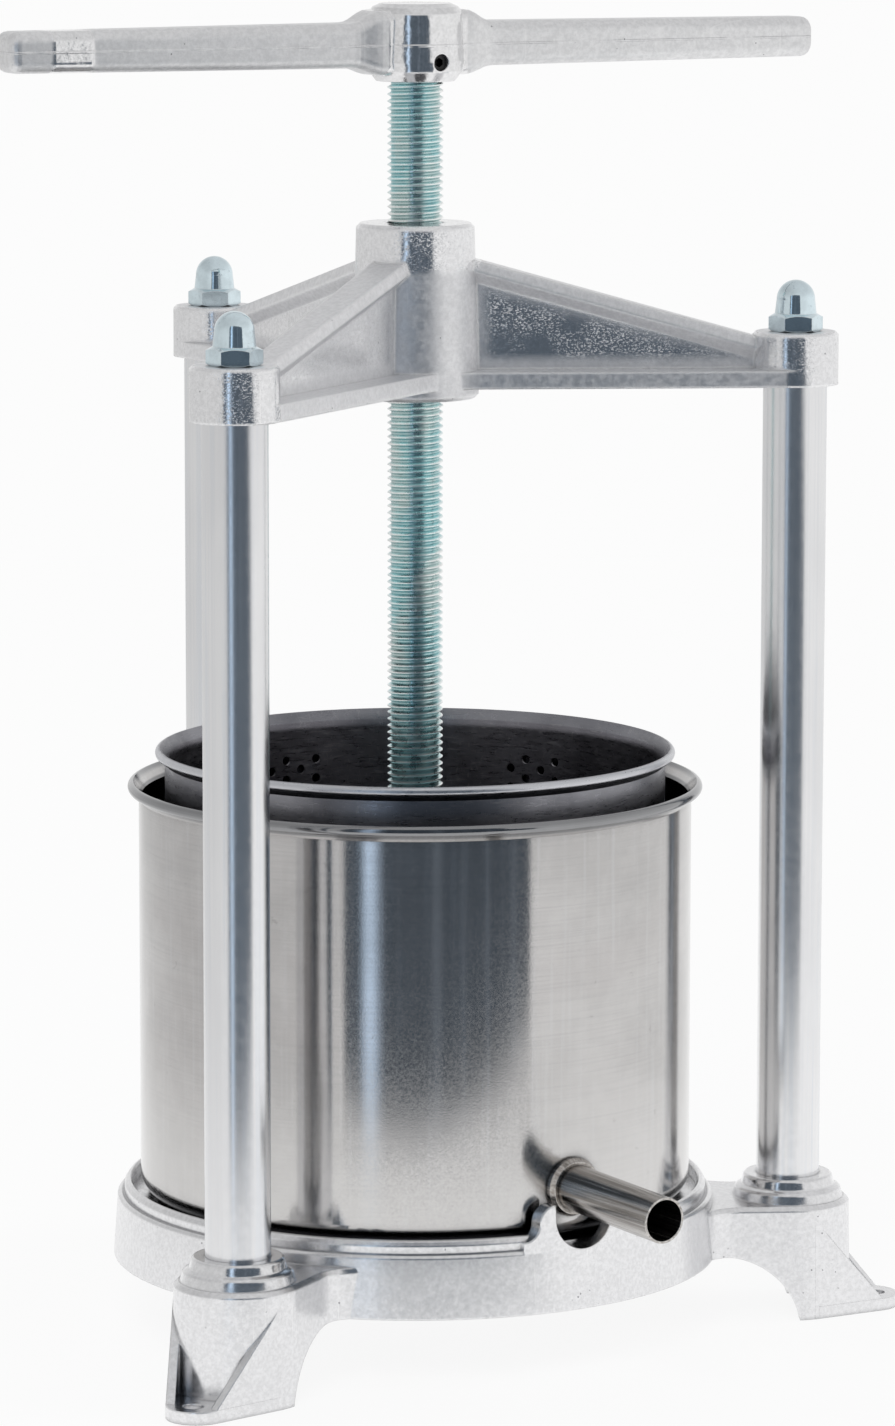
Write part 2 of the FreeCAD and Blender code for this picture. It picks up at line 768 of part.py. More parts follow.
def vessel(radius, wall, foot, height, corner, rim_radius, bead):
    """Thin round wall with a flared, rolled rim; a corner radius gives it a floor."""
    top = foot + height
    bead_z = top - bead
    bead_r = rim_radius - bead
    flare_z = bead_z - 2 * bead
    k = 1 - math.sqrt(0.5)
    inner = radius - wall
    inner_corner = corner - wall
    edges = []
    if corner > 0:
        edges += [
            line(Vector(0, 0, foot + wall), Vector(0, 0, foot)),
            line(Vector(0, 0, foot), Vector(radius - corner, 0, foot)),
            arc(Vector(radius - corner, 0, foot), Vector(radius - corner * k, 0, foot + corner * k),
                Vector(radius, 0, foot + corner)),
            line(Vector(radius, 0, foot + corner), Vector(radius, 0, flare_z))]
    else:
        edges += [
            line(Vector(inner, 0, foot), Vector(radius, 0, foot)),
            line(Vector(radius, 0, foot), Vector(radius, 0, flare_z))]
    edges += [
        line(Vector(radius, 0, flare_z), Vector(bead_r, 0, bead_z - bead)),
        arc(Vector(bead_r, 0, bead_z - bead), Vector(bead_r + bead, 0, bead_z), Vector(bead_r, 0, top)),
        line(Vector(bead_r, 0, top), Vector(inner, 0, flare_z + wall))]
    if corner > 0:
        edges += [
            line(Vector(inner, 0, flare_z + wall), Vector(inner, 0, foot + corner)),
            arc(Vector(inner, 0, foot + corner),
                Vector(inner - inner_corner * k, 0, foot + wall + inner_corner * k),
                Vector(inner - inner_corner, 0, foot + wall)),
            line(Vector(inner - inner_corner, 0, foot + wall), Vector(0, 0, foot + wall))]
    else:
        edges.append(line(Vector(inner, 0, flare_z + wall), Vector(inner, 0, foot)))
    return Part.Face(Part.Wire(edges)).revolve(Vector(0, 0, 0), Vector(0, 0, 1), 360)


def along_spout(shape):
    """Place a shape drawn along +Z from the pot's axis onto the spout's sloping axis."""
    copy = shape.copy()
    copy.rotate(Vector(0, 0, 0), Vector(1, 0, 0), 90 + spout_slope)
    drop = pot_radius * math.tan(math.radians(spout_slope))
    copy.translate(Vector(0, 0, recess_floor_z + spout_level + drop))
    return copy


def pot_shell():
    rim = pot_radius + pot_rim_overhang
    shell = vessel(pot_radius, pot_wall, recess_floor_z, pot_height, pot_corner_radius, rim, pot_bead_radius)
    hole = along_spout(cylinder(spout_spigot_radius + fit_clearance, pot_radius / 2, 2 * pot_radius))
    return shell.cut(hole)


def spout_tube():
    """Tube with a spigot through the pot's wall, whose shoulder seats on the collar."""
    low = pot_radius - pot_wall - spout_entry
    shoulder = pot_radius + spout_collar_length
    high = pot_radius + spout_length
    spigot = cylinder(spout_spigot_radius, low, shoulder)
    outer = cylinder(spout_radius, shoulder, high)
    inner = cylinder(spout_radius - spout_wall, low, high)
    return along_spout(spigot.fuse(outer).cut(inner))


def spout_collar():
    """Stepped ring welded round the spout, hollowed to lie on the pot's wall."""
    low = pot_radius - spout_collar_radius
    high = pot_radius + spout_collar_length
    step = spout_collar_step
    bore = spout_spigot_radius + fit_clearance
    profile = [
        (bore, low), (spout_collar_radius, low), (spout_collar_radius, high - 2 * step),
        (spout_collar_radius - step / 2, high - step), (spout_collar_radius - step, high), (bore, high)]
    collar = along_spout(revolved(profile))
    return collar.cut(cylinder(pot_radius, recess_floor_z, recess_floor_z + pot_height))


def basket_shell():
    rim = basket_radius + basket_rim_overhang
    return vessel(basket_radius, basket_wall, basket_foot_z, basket_height, 0, rim, basket_bead_radius)


def basket_floor():
    low = basket_foot_z + basket_floor_rise
    return cylinder(basket_radius - basket_wall, low, low + basket_floor_thickness)


def model():
    nodes = {"base_casting": base_casting(), "top_bridge": top_bridge()}
    per_column = {
        "column": column(), "tie_rod": tie_rod(), "cap_nut": cap_nut(), "base_nut": base_nut(),
        "base_washer": base_washer()}
    for kind, shape in per_column.items():
        for name, angle in zip(leg_names, leg_angles):
            nodes[kind + "_" + name] = turned(shape, angle)
    nodes["press_screw"] = press_screw()
    nodes["handle"] = handle()
    nodes["grub_screw"] = grub_screw()
    nodes["press_plate"] = press_plate()
    nodes["thrust_washer"] = thrust_washer()
    nodes["retaining_washer"] = retaining_washer()
    nodes["retaining_bolt"] = retaining_bolt()
    nodes["pot_shell"] = pot_shell()
    nodes["spout_tube"] = spout_tube()
    nodes["spout_collar"] = spout_collar()
    nodes["basket_shell"] = basket_shell()
    nodes["basket_floor"] = basket_floor()
    return nodes


os.makedirs("parts", exist_ok=True)
for name, shape in model().items():
    shape.exportStep("parts/" + name + ".step")
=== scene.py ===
import math

import bmesh
import bpy
from mathutils import Matrix, Vector

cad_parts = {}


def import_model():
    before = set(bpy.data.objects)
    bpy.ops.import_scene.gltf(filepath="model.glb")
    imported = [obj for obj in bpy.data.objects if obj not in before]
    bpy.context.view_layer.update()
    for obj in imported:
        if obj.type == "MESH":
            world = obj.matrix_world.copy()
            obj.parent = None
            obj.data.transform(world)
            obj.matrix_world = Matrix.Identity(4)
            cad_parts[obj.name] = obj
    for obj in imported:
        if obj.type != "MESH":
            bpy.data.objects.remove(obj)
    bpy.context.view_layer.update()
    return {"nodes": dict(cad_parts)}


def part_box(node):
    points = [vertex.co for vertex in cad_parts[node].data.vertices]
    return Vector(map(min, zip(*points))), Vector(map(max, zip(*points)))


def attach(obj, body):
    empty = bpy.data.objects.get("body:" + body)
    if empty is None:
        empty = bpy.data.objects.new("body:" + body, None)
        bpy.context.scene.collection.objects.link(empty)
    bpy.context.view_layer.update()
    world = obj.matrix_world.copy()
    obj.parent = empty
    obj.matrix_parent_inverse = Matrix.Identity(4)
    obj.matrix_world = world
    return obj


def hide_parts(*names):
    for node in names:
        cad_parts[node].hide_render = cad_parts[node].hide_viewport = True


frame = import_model()

# Everything is in metres, in the part's own frame: +Z up along the screw, -Y towards the spout.
MM = 0.001

# Camera that took the photograph
CAMERA_AZIMUTH = math.radians(-33.45)
CAMERA_YAW = math.radians(0.3)
CAMERA_PITCH = math.radians(8.67)
CAMERA_ROLL = math.radians(0.07)
CAMERA_DISTANCE = 2.236
CAMERA_HEIGHT = 0.5627
CAMERA_LENS = 157.96
CAMERA_SENSOR = 36.0

# Dark card that only reflections see: its distance and outline, and the pale stripe in it
CARD_DISTANCE = 0.50
CARD_OUTLINE = [(-0.250, 0.002), (0.500, 0.002), (0.500, 0.24), (0.34, 0.30), (0.34, 0.62), (-0.250, 0.62)]
STRIPE_CENTRE = -0.149
STRIPE_HALF = 0.046

# Screw thread
THREAD_PITCH = 2.5 * MM
THREAD_DEPTH = 1.35 * MM
THREAD_CREST = 0.14
THREAD_ROOT = 0.22
THREAD_STEPS = 48
JOURNAL_RADIUS = 7.0 * MM
JOURNAL_BEVEL = 0.5 * MM

# Square metres under which the thread's flattened end faces are dropped
SLIVER_AREA = 1e-12

# Perforated basket
BASKET_WALL = 0.8 * MM
BASKET_BEAD = 1.75 * MM
BASKET_OVERHANG = 3.5 * MM
BASKET_GROUPS = 6
BASKET_GROUP_CENTRE = 27
BASKET_COLUMNS = 4
HOLE_CELL_DEGREES = 4
HOLE_PITCH = 7.3 * MM
HOLE_RADIUS = 1.7 * MM
HOLE_TOP_MARGIN = 14.0 * MM
HOLE_ROWS = 19

# Height of the handle's parting line over the hub's lower edge
PARTING_LEVEL = 13.0 * MM

# Half the thickness of the bridge's webs, and where they leave its hub
WEB_HALF = 3.0 * MM
HUB_REACH = 22.5 * MM

# White of the backdrop as the camera sees it, and of the floor in reflections near and far
BACKDROP = 0.973
FLOOR_HALF = 12.0
FLOOR_NEAR = 1.0
FLOOR_FAR = 0.88
LEFT_SIDE = 0.78

# Radii where the pot, the basket and the screw change their look
POT_INSIDE = 99.4 * MM
POT_OUTSIDE = 99.9 * MM
BASKET_INSIDE = 89.9 * MM
BASKET_OUTSIDE = 90.3 * MM
THREAD_FLANK = 9.2 * MM
THREAD_TOP = 9.9 * MM

# Height of the bridge's polished crown, and the roughness of every polished face
CROWN_HEIGHT = 18.0 * MM
POLISHED_ROUGHNESS = 0.11


def direction(azimuth):
    """Level unit vector that a camera turned to this azimuth looks along."""
    return Vector((-math.sin(azimuth), math.cos(azimuth), 0))


def sideways():
    """Direction that points to the right in the photograph."""
    forward = direction(CAMERA_AZIMUTH)
    return Vector((forward.y, -forward.x, 0))


# Camera, light and floor


def camera():
    """Camera at the photograph's place and angle, with the photograph's lens."""
    forward = direction(CAMERA_AZIMUTH)
    place = -forward * CAMERA_DISTANCE + Vector((0, 0, CAMERA_HEIGHT))
    level = direction(CAMERA_AZIMUTH - CAMERA_YAW)
    look = level * math.cos(CAMERA_PITCH) - Vector((0, 0, math.sin(CAMERA_PITCH)))
    data = bpy.data.cameras.new("camera")
    data.lens = CAMERA_LENS
    data.sensor_width = CAMERA_SENSOR
    data.clip_start = 0.05
    data.clip_end = 50.0
    made = bpy.data.objects.new("camera", data)
    roll = Matrix.Rotation(CAMERA_ROLL, 4, "Z")
    aim = look.to_track_quat("-Z", "Y").to_matrix().to_4x4()
    made.matrix_world = Matrix.Translation(place) @ aim @ roll
    bpy.context.scene.collection.objects.link(made)
    bpy.context.scene.camera = made


def area_light(name, place, size, power, colour):
    """Soft light aimed at the part, which reflections don't show."""
    data = bpy.data.lights.new(name, "AREA")
    data.shape = "RECTANGLE"
    data.size, data.size_y = size
    data.energy = power
    data.color = colour
    made = bpy.data.objects.new(name, data)
    made.location = place
    made.rotation_mode = "QUATERNION"
    made.rotation_quaternion = (Vector((0, 0, 0.2)) - Vector(place)).to_track_quat("-Z", "Y")
    made.visible_glossy = False
    bpy.context.scene.collection.objects.link(made)


def world():
    """White where the camera looks; in reflections paler at eye level than overhead."""
    made = bpy.data.worlds.new("studio")
    made.use_nodes = True
    g = Graph(made.node_tree)
    path = g.add("ShaderNodeLightPath")
    coordinates = g.add("ShaderNodeTexCoord")
    split = g.add("ShaderNodeSeparateXYZ")
    g.link(coordinates.outputs["Generated"], split.inputs[0])
    height = g.spread(split.outputs["Z"], 0.0, 0.7)
    reflected = g.mix(height, (0.90, 0.90, 0.90), (0.70, 0.70, 0.705))
    side = g.spread(g.along(coordinates.outputs["Generated"], sideways()), -0.9, 0.1, LEFT_SIDE, 1.0)
    reflected = g.mix(1.0, reflected, side, "MULTIPLY")
    white = (BACKDROP, BACKDROP, BACKDROP)
    seen = g.mix(path.outputs["Is Camera Ray"], reflected, white)
    direct = g.math("MAXIMUM", path.outputs["Is Camera Ray"], path.outputs["Is Glossy Ray"])
    direct = g.math("MAXIMUM", direct, path.outputs["Is Transmission Ray"])
    colour = g.mix(direct, (0.62, 0.625, 0.63), seen)
    background = g.add("ShaderNodeBackground")
    g.link(colour, background.inputs["Color"])
    output = g.add("ShaderNodeOutputWorld")
    g.link(background.outputs[0], output.inputs["Surface"])
    bpy.context.scene.world = made


def floor():
    """Plain pale floor that keeps a soft shadow; reflections of it fade a little with distance."""
    mesh = bpy.data.meshes.new("floor")
    r = FLOOR_HALF
    mesh.from_pydata([(-r, -r, 0), (r, -r, 0), (r, r, 0), (-r, r, 0)], [], [(0, 1, 2, 3)])
    made = bpy.data.objects.new("floor", mesh)
    bpy.context.scene.collection.objects.link(made)
    m, g = new_material("floor_white")
    diffuse = g.add("ShaderNodeBsdfDiffuse")
    diffuse.inputs["Color"].default_value = (0.93, 0.93, 0.93, 1)
    distance = g.add("ShaderNodeVectorMath")
    distance.operation = "LENGTH"
    g.link(g.place(), distance.inputs[0])
    fade = g.spread(distance.outputs["Value"], 0.35, 1.8, FLOOR_NEAR, FLOOR_FAR)
    fade = g.math("MULTIPLY", fade, g.spread(g.along(g.place(), sideways()), -0.8, 0.0, LEFT_SIDE, 1.0))
    path = g.add("ShaderNodeLightPath")
    level = g.blend(path.outputs["Is Camera Ray"], fade, BACKDROP)
    glow = g.add("ShaderNodeEmission")
    g.link(level, glow.inputs["Strength"])
    seen = g.math("MAXIMUM", path.outputs["Is Camera Ray"], path.outputs["Is Glossy Ray"])
    share = g.math("MULTIPLY", seen, g.spread(distance.outputs["Value"], 0.4, 2.2, 0.92, 1.0))
    mix = g.add("ShaderNodeMixShader")
    g.link(share, mix.inputs[0])
    g.link(diffuse.outputs[0], mix.inputs[1])
    g.link(glow.outputs[0], mix.inputs[2])
    output = g.add("ShaderNodeOutputMaterial")
    g.link(mix.outputs[0], output.inputs["Surface"])
    mesh.materials.append(m)


def dark_card():
    """The dark room beyond the table's edge, which only reflections see, with pale streaks in it."""
    mesh = bpy.data.meshes.new("dark_card")
    mesh.from_pydata([(x, 0, z) for x, z in CARD_OUTLINE], [], [tuple(range(len(CARD_OUTLINE)))])
    made = bpy.data.objects.new("dark_card", mesh)
    made.location = -direction(CAMERA_AZIMUTH) * CARD_DISTANCE
    made.rotation_euler = (0, 0, CAMERA_AZIMUTH)
    bpy.context.scene.collection.objects.link(made)
    m, g = new_material("card_grey")
    across, _, _ = g.axes()
    off_centre = g.math("ABSOLUTE", g.math("ADD", across, -STRIPE_CENTRE))
    stripe = g.spread(off_centre, STRIPE_HALF, 0.004)
    faint = g.spread(g.noise(1.0, 2, 0.5, g.place((22, 0, 0))), 0.45, 0.75)
    colour = g.mix(faint, (0.085, 0.105, 0.130), (0.20, 0.235, 0.28))
    colour = g.mix(stripe, colour, (0.80, 1.0, 1.25))
    glow = g.add("ShaderNodeEmission")
    g.link(colour, glow.inputs["Color"])
    output = g.add("ShaderNodeOutputMaterial")
    g.link(glow.outputs[0], output.inputs["Surface"])
    mesh.materials.append(m)
    made.visible_camera = False
    made.visible_diffuse = False
    made.visible_shadow = False
    made.visible_transmission = False


# Material building


class Graph:
    """A node tree with short calls for the nodes used here."""

    def __init__(self, tree):
        self.tree = tree
        tree.nodes.clear()

    def add(self, kind):
        return self.tree.nodes.new(kind)

    def link(self, source, target):
        self.tree.links.new(source, target)

    def feed(self, socket, value):
        """Link a socket, or write a constant into it."""
        if isinstance(value, bpy.types.NodeSocket):
            self.link(value, socket)
        elif isinstance(value, tuple) and len(socket.default_value) == 4:
            socket.default_value = (*value, 1)
        else:
            socket.default_value = value

    def math(self, operation, a, b=None):
        node = self.add("ShaderNodeMath")
        node.operation = operation
        self.feed(node.inputs[0], a)
        if b is not None:
            self.feed(node.inputs[1], b)
        return node.outputs[0]

    def spread(self, value, low, high, to_low=0.0, to_high=1.0):
        """Value mapped smoothly from low..high to to_low..to_high."""
        node = self.add("ShaderNodeMapRange")
        node.interpolation_type = "SMOOTHSTEP"
        self.feed(node.inputs["Value"], value)
        node.inputs["From Min"].default_value = low
        node.inputs["From Max"].default_value = high
        node.inputs["To Min"].default_value = to_low
        node.inputs["To Max"].default_value = to_high
        return node.outputs[0]

    def mix(self, factor, a, b, blend="MIX"):
        node = self.add("ShaderNodeMix")
        node.data_type = "RGBA"
        node.blend_type = blend
        self.feed(node.inputs["Factor"], factor)
        self.feed(node.inputs[6], a)
        self.feed(node.inputs[7], b)
        return node.outputs[2]

    def place(self, scale=(1, 1, 1), turn=(0, 0, 0)):
        """Object coordinates, stretched and turned."""
        coordinates = self.add("ShaderNodeTexCoord")
        mapping = self.add("ShaderNodeMapping")
        mapping.inputs["Scale"].default_value = scale
        mapping.inputs["Rotation"].default_value = turn
        self.link(coordinates.outputs["Object"], mapping.inputs["Vector"])
        return mapping.outputs[0]

    def noise(self, scale, detail=2.0, rough=0.5, at=None, warp=0.0):
        node = self.add("ShaderNodeTexNoise")
        node.inputs["Scale"].default_value = scale
        node.inputs["Detail"].default_value = detail
        node.inputs["Roughness"].default_value = rough
        node.inputs["Distortion"].default_value = warp
        self.link(self.place() if at is None else at, node.inputs["Vector"])
        return node.outputs["Fac"]

    def cells(self, scale):
        node = self.add("ShaderNodeTexVoronoi")
        node.inputs["Scale"].default_value = scale
        self.link(self.place(), node.inputs["Vector"])
        return node.outputs["Distance"]

    def blend(self, factor, a, b):
        """Mix of two plain numbers."""
        node = self.add("ShaderNodeMix")
        node.data_type = "FLOAT"
        self.feed(node.inputs["Factor"], factor)
        self.feed(node.inputs[2], a)
        self.feed(node.inputs[3], b)
        return node.outputs[0]

    def axes(self):
        """Object coordinates taken apart."""
        coordinates = self.add("ShaderNodeTexCoord")
        split = self.add("ShaderNodeSeparateXYZ")
        self.link(coordinates.outputs["Object"], split.inputs[0])
        return split.outputs["X"], split.outputs["Y"], split.outputs["Z"]

    def along(self, point, way):
        """How far a point lies along a fixed direction."""
        node = self.add("ShaderNodeVectorMath")
        node.operation = "DOT_PRODUCT"
        self.link(point, node.inputs[0])
        node.inputs[1].default_value = way
        return node.outputs["Value"]

    def radius(self):
        """Distance from the screw's axis."""
        x, y, _ = self.axes()
        return self.math("SQRT", self.math("ADD", self.math("POWER", x, 2.0), self.math("POWER", y, 2.0)))

    def open_air(self, reach):
        """1 on open surfaces, less in corners and gaps narrower than reach."""
        node = self.add("ShaderNodeAmbientOcclusion")
        node.samples = 6
        node.inputs["Distance"].default_value = reach
        return node.outputs["AO"]

    def edges(self, normal):
        """1 where the rounded normal leaves the flat one, so along every edge."""
        geometry = self.add("ShaderNodeNewGeometry")
        node = self.add("ShaderNodeVectorMath")
        node.operation = "DOT_PRODUCT"
        self.link(normal, node.inputs[0])
        self.link(geometry.outputs["Normal"], node.inputs[1])
        return self.spread(node.outputs["Value"], 0.998, 0.95)

    def bump(self, height, distance, strength=1.0, before=None):
        node = self.add("ShaderNodeBump")
        node.inputs["Distance"].default_value = distance
        node.inputs["Strength"].default_value = strength
        self.feed(node.inputs["Height"], height)
        if before is not None:
            self.link(before, node.inputs["Normal"])
        return node.outputs[0]

    def rounded(self, radius):
        """Normals that round every edge off by this radius."""
        node = self.add("ShaderNodeBevel")
        node.samples = 6
        node.inputs["Radius"].default_value = radius
        return node.outputs[0]

    def metal(self, colour, roughness, normal=None, anisotropic=0.0):
        shader = self.add("ShaderNodeBsdfPrincipled")
        shader.inputs["Metallic"].default_value = 1.0
        self.feed(shader.inputs["Base Color"], colour)
        self.feed(shader.inputs["Roughness"], roughness)
        if anisotropic:
            shader.inputs["Anisotropic"].default_value = anisotropic
            shader.inputs["Anisotropic Rotation"].default_value = 0.25
            tangent = self.add("ShaderNodeTangent")
            tangent.direction_type = "RADIAL"
            tangent.axis = "Z"
            self.link(tangent.outputs[0], shader.inputs["Tangent"])
        if normal is not None:
            self.link(normal, shader.inputs["Normal"])
        output = self.add("ShaderNodeOutputMaterial")
        self.link(shader.outputs[0], output.inputs["Surface"])


def new_material(name):
    made = bpy.data.materials.new(name)
    made.use_nodes = True
    return made, Graph(made.node_tree)


def cast_aluminium(name, edge, tone, rough, corners, grain_depth, polished=None, ripple=None, parting=None):
    """Tumbled casting: soft bright grain, few flecks and pits, and edges lightened as a painted highlight.

    corners is how dark the painted shade in its corners is. polished gives a mask of glossy faces, and
    ripple their ripple scale, ripple depth and nick depth. parting is the height of a cast parting line.
    """
    made, g = new_material(name)
    grain = g.noise(620, 4, 0.7)
    cloud = g.noise(16, 2, 0.5)
    dark_tone = tuple(c * 0.93 for c in tone)
    light_tone = tuple(min(c * 1.05, 0.96) for c in tone)
    colour = g.mix(g.spread(grain, 0.36, 0.66), dark_tone, light_tone)
    colour = g.mix(g.math("MULTIPLY", g.spread(cloud, 0.4, 0.7), 0.10), colour, (0.60, 0.60, 0.62))
    flecks = g.spread(g.noise(380, 4, 0.7, warp=0.3), 0.63, 0.69)
    colour = g.mix(g.math("MULTIPLY", flecks, 0.08), colour, (0.40, 0.41, 0.44))
    pits = g.spread(g.cells(240), 0.09, 0.04)
    pits = g.math("MULTIPLY", pits, g.spread(g.noise(60), 0.56, 0.62))
    colour = g.mix(g.math("MULTIPLY", pits, 0.8), colour, (0.16, 0.16, 0.17))
    colour = g.mix(g.math("MULTIPLY", scratches(g, 900), 0.4), colour, (0.95, 0.95, 0.95))
    rounded = g.rounded(edge)
    # Painted highlight: the edges are lightened towards white.
    colour = g.mix(g.math("MULTIPLY", g.edges(rounded), 0.65), colour, (0.96, 0.96, 0.965))
    # Painted shade: the colour is darkened in corners and narrow gaps.
    open_air = g.open_air(2.5 * MM)
    painted_corner_shade = g.spread(open_air, 0.80, 0.45)
    colour = g.mix(g.math("MULTIPLY", painted_corner_shade, corners), colour, (0.10, 0.10, 0.11))
    roughness = g.spread(g.noise(420, 3, 0.6), 0.35, 0.65, *rough)
    normal = g.bump(g.noise(45, 2), 0.10 * MM, 0.8, rounded)
    normal = g.bump(g.noise(330, 3, 0.6), grain_depth, 0.8, normal)
    normal = g.bump(pits, -0.25 * MM, 0.7, normal)
    if polished is not None:
        shine = g.math("MULTIPLY", polished(g), g.spread(open_air, 0.70, 0.90))
        roughness = g.blend(shine, roughness, POLISHED_ROUGHNESS)
        scale, depth, nick_depth = ripple
        nicks = g.spread(g.noise(1150, 3, 0.65, g.place((1, 1, 1.8))), 0.52, 0.72)
        nicks = g.math("MULTIPLY", nicks, g.spread(g.noise(55, 3), 0.24, 0.62))
        normal = g.bump(g.math("MULTIPLY", nicks, shine), nick_depth, 0.9, normal)
        normal = g.bump(g.math("MULTIPLY", g.noise(scale, 3, 0.55), shine), depth, 0.9, normal)
    if parting is not None:
        _, _, z = g.axes()
        ridge = g.spread(g.math("ABSOLUTE", g.math("SUBTRACT", z, parting)), 0.55 * MM, 0.10 * MM)
        ridge = g.math("MULTIPLY", ridge, g.spread(g.noise(70, 3), 0.30, 0.55))
        normal = g.bump(ridge, 0.30 * MM, 0.9, normal)
    g.metal(colour, roughness, normal)
    return made


def leg_directions():
    """Level unit vectors from the screw's axis to the three columns, and their distance."""
    found = []
    for name in ("column_front_left", "column_front_right", "column_rear"):
        low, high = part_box(name)
        centre = (low + high) / 2
        found.append((Vector((centre.x, centre.y, 0)).normalized(), math.hypot(centre.x, centre.y)))
    return found


def near_columns(g):
    """Level distance to the nearest column's axis."""
    nearest = None
    for way, reach in leg_directions():
        node = g.add("ShaderNodeVectorMath")
        node.operation = "DISTANCE"
        g.link(g.place((1, 1, 0)), node.inputs[0])
        node.inputs[1].default_value = way * reach
        distance = node.outputs["Value"]
        nearest = distance if nearest is None else g.math("MINIMUM", nearest, distance)
    return nearest


def polished_bridge(g):
    """1 on the upright faces of the webs, round the lugs and round the top of the hub."""
    geometry = g.add("ShaderNodeNewGeometry")
    near = near_columns(g)
    mask = g.math("MULTIPLY", g.spread(near, 0.0140, 0.0147), g.spread(near, 0.0165, 0.0158))
    border = g.spread(g.open_air(6.0 * MM), 0.84, 0.94)
    for way, _ in leg_directions():
        across = Vector((-way.y, way.x, 0))
        facing = g.math("ABSOLUTE", g.along(geometry.outputs["Normal"], across))
        off = g.math("ABSOLUTE", g.along(g.place(), across))
        flat = g.spread(off, WEB_HALF + 0.6 * MM, WEB_HALF + 0.2 * MM)
        web = g.math("MULTIPLY", g.spread(facing, 0.90, 0.97), flat)
        outside_hub = g.spread(g.along(g.place(), way), HUB_REACH, HUB_REACH + 1.0 * MM)
        web = g.math("MULTIPLY", web, outside_hub)
        web = g.math("MULTIPLY", web, border)
        mask = g.math("MAXIMUM", mask, web)
    _, _, z = g.axes()
    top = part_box("top_bridge")[1].z
    upper = g.spread(z, top - CROWN_HEIGHT, top - CROWN_HEIGHT + 4 * MM)
    crown = g.math("MULTIPLY", upper, g.spread(g.radius(), 0.024, 0.0235))
    return g.math("MAXIMUM", mask, crown)


def polished_collars(g):
    """1 on the stepped collars that the columns stand in."""
    _, _, z = g.axes()
    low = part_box("column_rear")[0].z
    beside = g.spread(near_columns(g), 0.0200, 0.0190)
    return g.math("MULTIPLY", beside, g.spread(z, low - 5.0 * MM, low - 4.0 * MM))


def polished_grip(g):
    """1 round the handle's hub and on a worn patch near one end."""
    low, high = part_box("handle")
    way = Vector((-1, 0, 0)) if high.x - low.x > high.y - low.y else Vector((0, -1, 0))
    out = g.along(g.place(), way)
    patch = g.math("MULTIPLY", g.spread(out, 0.127, 0.129), g.spread(out, 0.144, 0.142))
    hub = g.spread(g.radius(), 0.0190, 0.0180)
    return g.math("MAXIMUM", patch, hub)


def scratches(g, density):
    """Sparse thin lines in two directions."""
    lines = g.noise(1.0, 2, 0.5, g.place((density, 9, 14), (0.4, 0.2, 0.7)))
    other = g.noise(1.0, 2, 0.5, g.place((11, density, 16), (0.1, 0.9, 0.3)))
    return g.math("MAXIMUM", g.spread(lines, 0.70, 0.74), g.spread(other, 0.71, 0.75))


def column_material():
    """Drawn tube, satin, with faint lines along it and a few scuffs."""
    made, g = new_material("column_tube")
    drawn = g.noise(1.0, 3, 0.6, g.place((1100, 1100, 4)))
    broad = g.noise(1.0, 3, 0.6, g.place((330, 330, 5)))
    cloud = g.noise(26, 3, 0.6, g.place((1, 1, 0.3)))
    colour = g.mix(g.spread(cloud, 0.35, 0.65), (0.80, 0.80, 0.81), (0.87, 0.87, 0.875))
    colour = g.mix(g.math("MULTIPLY", g.spread(drawn, 0.45, 0.7), 0.16), colour, (0.62, 0.65, 0.70))
    colour = g.mix(g.math("MULTIPLY", g.spread(broad, 0.50, 0.66), 0.22), colour, (0.64, 0.70, 0.78))
    scuff = g.spread(g.noise(200, 5, 0.7), 0.69, 0.72)
    colour = g.mix(g.math("MULTIPLY", scuff, 0.14), colour, (0.56, 0.59, 0.64))
    roughness = g.spread(g.noise(300, 3, 0.6), 0.3, 0.7, 0.22, 0.268)
    normal = g.bump(drawn, 0.006 * MM, 0.5, g.rounded(0.4 * MM))
    normal = g.bump(g.noise(260, 2, 0.5), 0.005 * MM, 0.7, normal)
    g.metal(colour, roughness, normal)
    return made


def zinc_screw_material():
    """Blue-green passivated zinc; the thread's crests are lightened, partly by wear and partly as a painted
    highlight, and the roots carry painted shade.
    """
    made, g = new_material("screw_steel")
    # Thread crests lightened: partly real wear, partly a painted highlight.
    worn_highlit_crest = g.spread(g.radius(), THREAD_FLANK, THREAD_TOP)
    patch = g.spread(g.noise(45, 3, 0.6), 0.40, 0.62)
    flank = g.mix(patch, (0.50, 0.74, 0.76), (0.66, 0.78, 0.77))
    top = g.mix(patch, (0.88, 0.97, 0.97), (0.97, 0.98, 0.97))
    colour = g.mix(worn_highlit_crest, flank, top)
    # Painted shade: dark lines in the thread's roots.
    root_shade = g.spread(g.radius(), 9.0 * MM, 8.7 * MM)
    colour = g.mix(g.math("MULTIPLY", root_shade, 0.22), colour, (0.16, 0.27, 0.28))
    rust = g.spread(g.noise(150, 4, 0.7), 0.63, 0.71)
    colour = g.mix(g.math("MULTIPLY", rust, 0.25), colour, (0.33, 0.27, 0.22))
    roughness = g.spread(g.noise(260, 2), 0.3, 0.7, 0.22, 0.36)
    g.metal(colour, roughness, g.bump(g.noise(700, 2), 0.03 * MM, 0.5))
    return made


